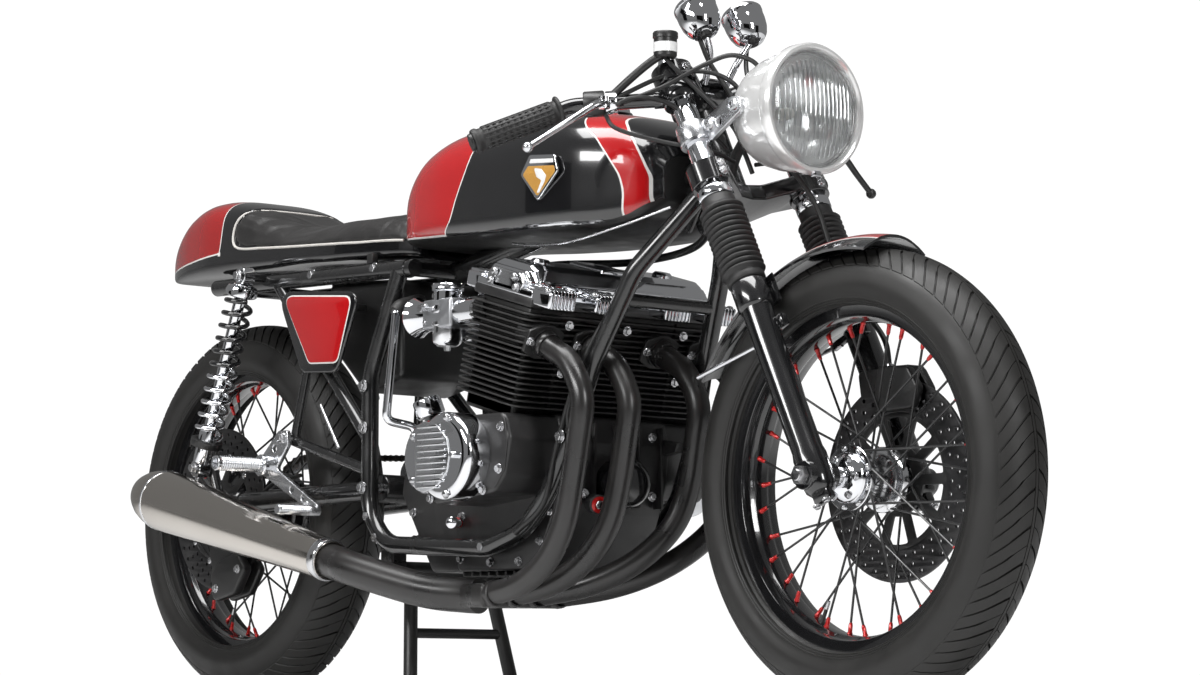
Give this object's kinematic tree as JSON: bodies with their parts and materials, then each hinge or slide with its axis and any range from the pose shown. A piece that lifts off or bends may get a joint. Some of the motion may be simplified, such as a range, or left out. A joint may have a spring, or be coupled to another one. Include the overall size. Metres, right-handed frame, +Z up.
{
  "type": "cafe racer motorcycle",
  "caption": "Cafe racer motorcycle with an air-cooled inline engine, clip-on bars, humped single seat, wire wheels and a centre stand.",
  "frame": {"origin": "on the floor under the middle of the motorcycle's length, on its centre plane", "axes": "+X forward, +Y to the rider's left, +Z up"},
  "size_m": [2.148, 0.6966, 1.0393],
  "materials": {
    "frame_tubes": "gloss black",
    "swingarm": "gloss black",
    "rear_axle": "polished steel",
    "crankcase": "black painted castings",
    "cylinder_block": "black painted fins",
    "cam_cover": "polished",
    "engine_covers": "polished",
    "carburettors": "cast",
    "exhaust_headers": "satin black",
    "muffler": "polished stainless",
    "fuel_tank": "gloss black with deep red bands",
    "tank_cap": "polished",
    "seat_cushion": "black leather",
    "tail_cowl": "gloss black with a deep red band",
    "side_panels": "gloss deep red",
    "oil_tank": "black",
    "breather_tube": "polished",
    "shock_bodies": "polished",
    "shock_springs": "black",
    "rearsets": "machined",
    "drive_chain": "oiled",
    "rear_caliper": "black",
    "centre_stand": "satin black",
    "fork_yokes": "gloss black",
    "fork_tubes": "hard chrome",
    "fork_gaiters": "black",
    "fork_sliders": "gloss black",
    "front_axle": "polished steel",
    "headlamp_shell": "chrome",
    "headlamp_lens": "clear fluted",
    "gauges": "chrome",
    "clip_on_bars": "black",
    "grips": "black ribbed",
    "hand_controls": "polished",
    "front_mudguard": "gloss black with a red stripe",
    "front_caliper": "black",
    "front_tyre": "grooved road tread",
    "front_rim": "gloss black",
    "front_hub": "cast with steel spokes",
    "front_disc": "drilled",
    "rear_tyre": "grooved road tread",
    "rear_rim": "gloss black",
    "rear_hub": "cast with steel spokes",
    "rear_disc": "drilled",
    "rear_sprocket": "toothed"
  },
  "bodies": {
    "chassis": {"frame_tubes": "frame_tubes", "swingarm": "swingarm", "rear_axle": "rear_axle", "crankcase": "crankcase", "cylinder_block": "cylinder_block", "cam_cover": "cam_cover", "engine_covers": "engine_covers", "carburettors": "carburettors", "exhaust_headers": "exhaust_headers", "muffler": "muffler", "fuel_tank": "fuel_tank", "tank_cap": "tank_cap", "seat_cushion": "seat_cushion", "tail_cowl": "tail_cowl", "side_panels": "side_panels", "oil_tank": "oil_tank", "breather_tube": "breather_tube", "shock_bodies": "shock_bodies", "shock_springs": "shock_springs", "rearsets": "rearsets", "drive_chain": "drive_chain", "rear_caliper": "rear_caliper"},
    "steering": {"fork_yokes": "fork_yokes", "fork_tubes": "fork_tubes", "fork_gaiters": "fork_gaiters", "fork_sliders": "fork_sliders", "front_axle": "front_axle", "headlamp_shell": "headlamp_shell", "headlamp_lens": "headlamp_lens", "gauges": "gauges", "clip_on_bars": "clip_on_bars", "grips": "grips", "hand_controls": "hand_controls", "front_mudguard": "front_mudguard", "front_caliper": "front_caliper"},
    "front_wheel": {"front_tyre": "front_tyre", "front_rim": "front_rim", "front_hub": "front_hub", "front_disc": "front_disc"},
    "rear_wheel": {"rear_tyre": "rear_tyre", "rear_rim": "rear_rim", "rear_hub": "rear_hub", "rear_disc": "rear_disc", "rear_sprocket": "rear_sprocket"},
    "centre_stand": {"centre_stand": "centre_stand"}
  },
  "joints": [
    {"name": "steering_turn", "type": "hinge", "parent": "chassis", "child": "steering", "pos_m": [0.70064, 0, 0.29257], "axis": [-0.4571, 0, 0.8894], "range_deg": [-25, 25]},
    {"name": "front_wheel_spin", "type": "hinge", "parent": "steering", "child": "front_wheel", "pos_m": [0.754, 0, 0.32], "axis": [0, 1, 0], "continuous": true},
    {"name": "rear_wheel_spin", "type": "hinge", "parent": "chassis", "child": "rear_wheel", "pos_m": [-0.752, 0, 0.327], "axis": [0, 1, 0], "continuous": true},
    {"name": "centre_stand_swing", "type": "hinge", "parent": "chassis", "child": "centre_stand", "pos_m": [-0.205, 0, 0.212], "axis": [0, 1, 0], "range_deg": [0, 75]}
  ]
}
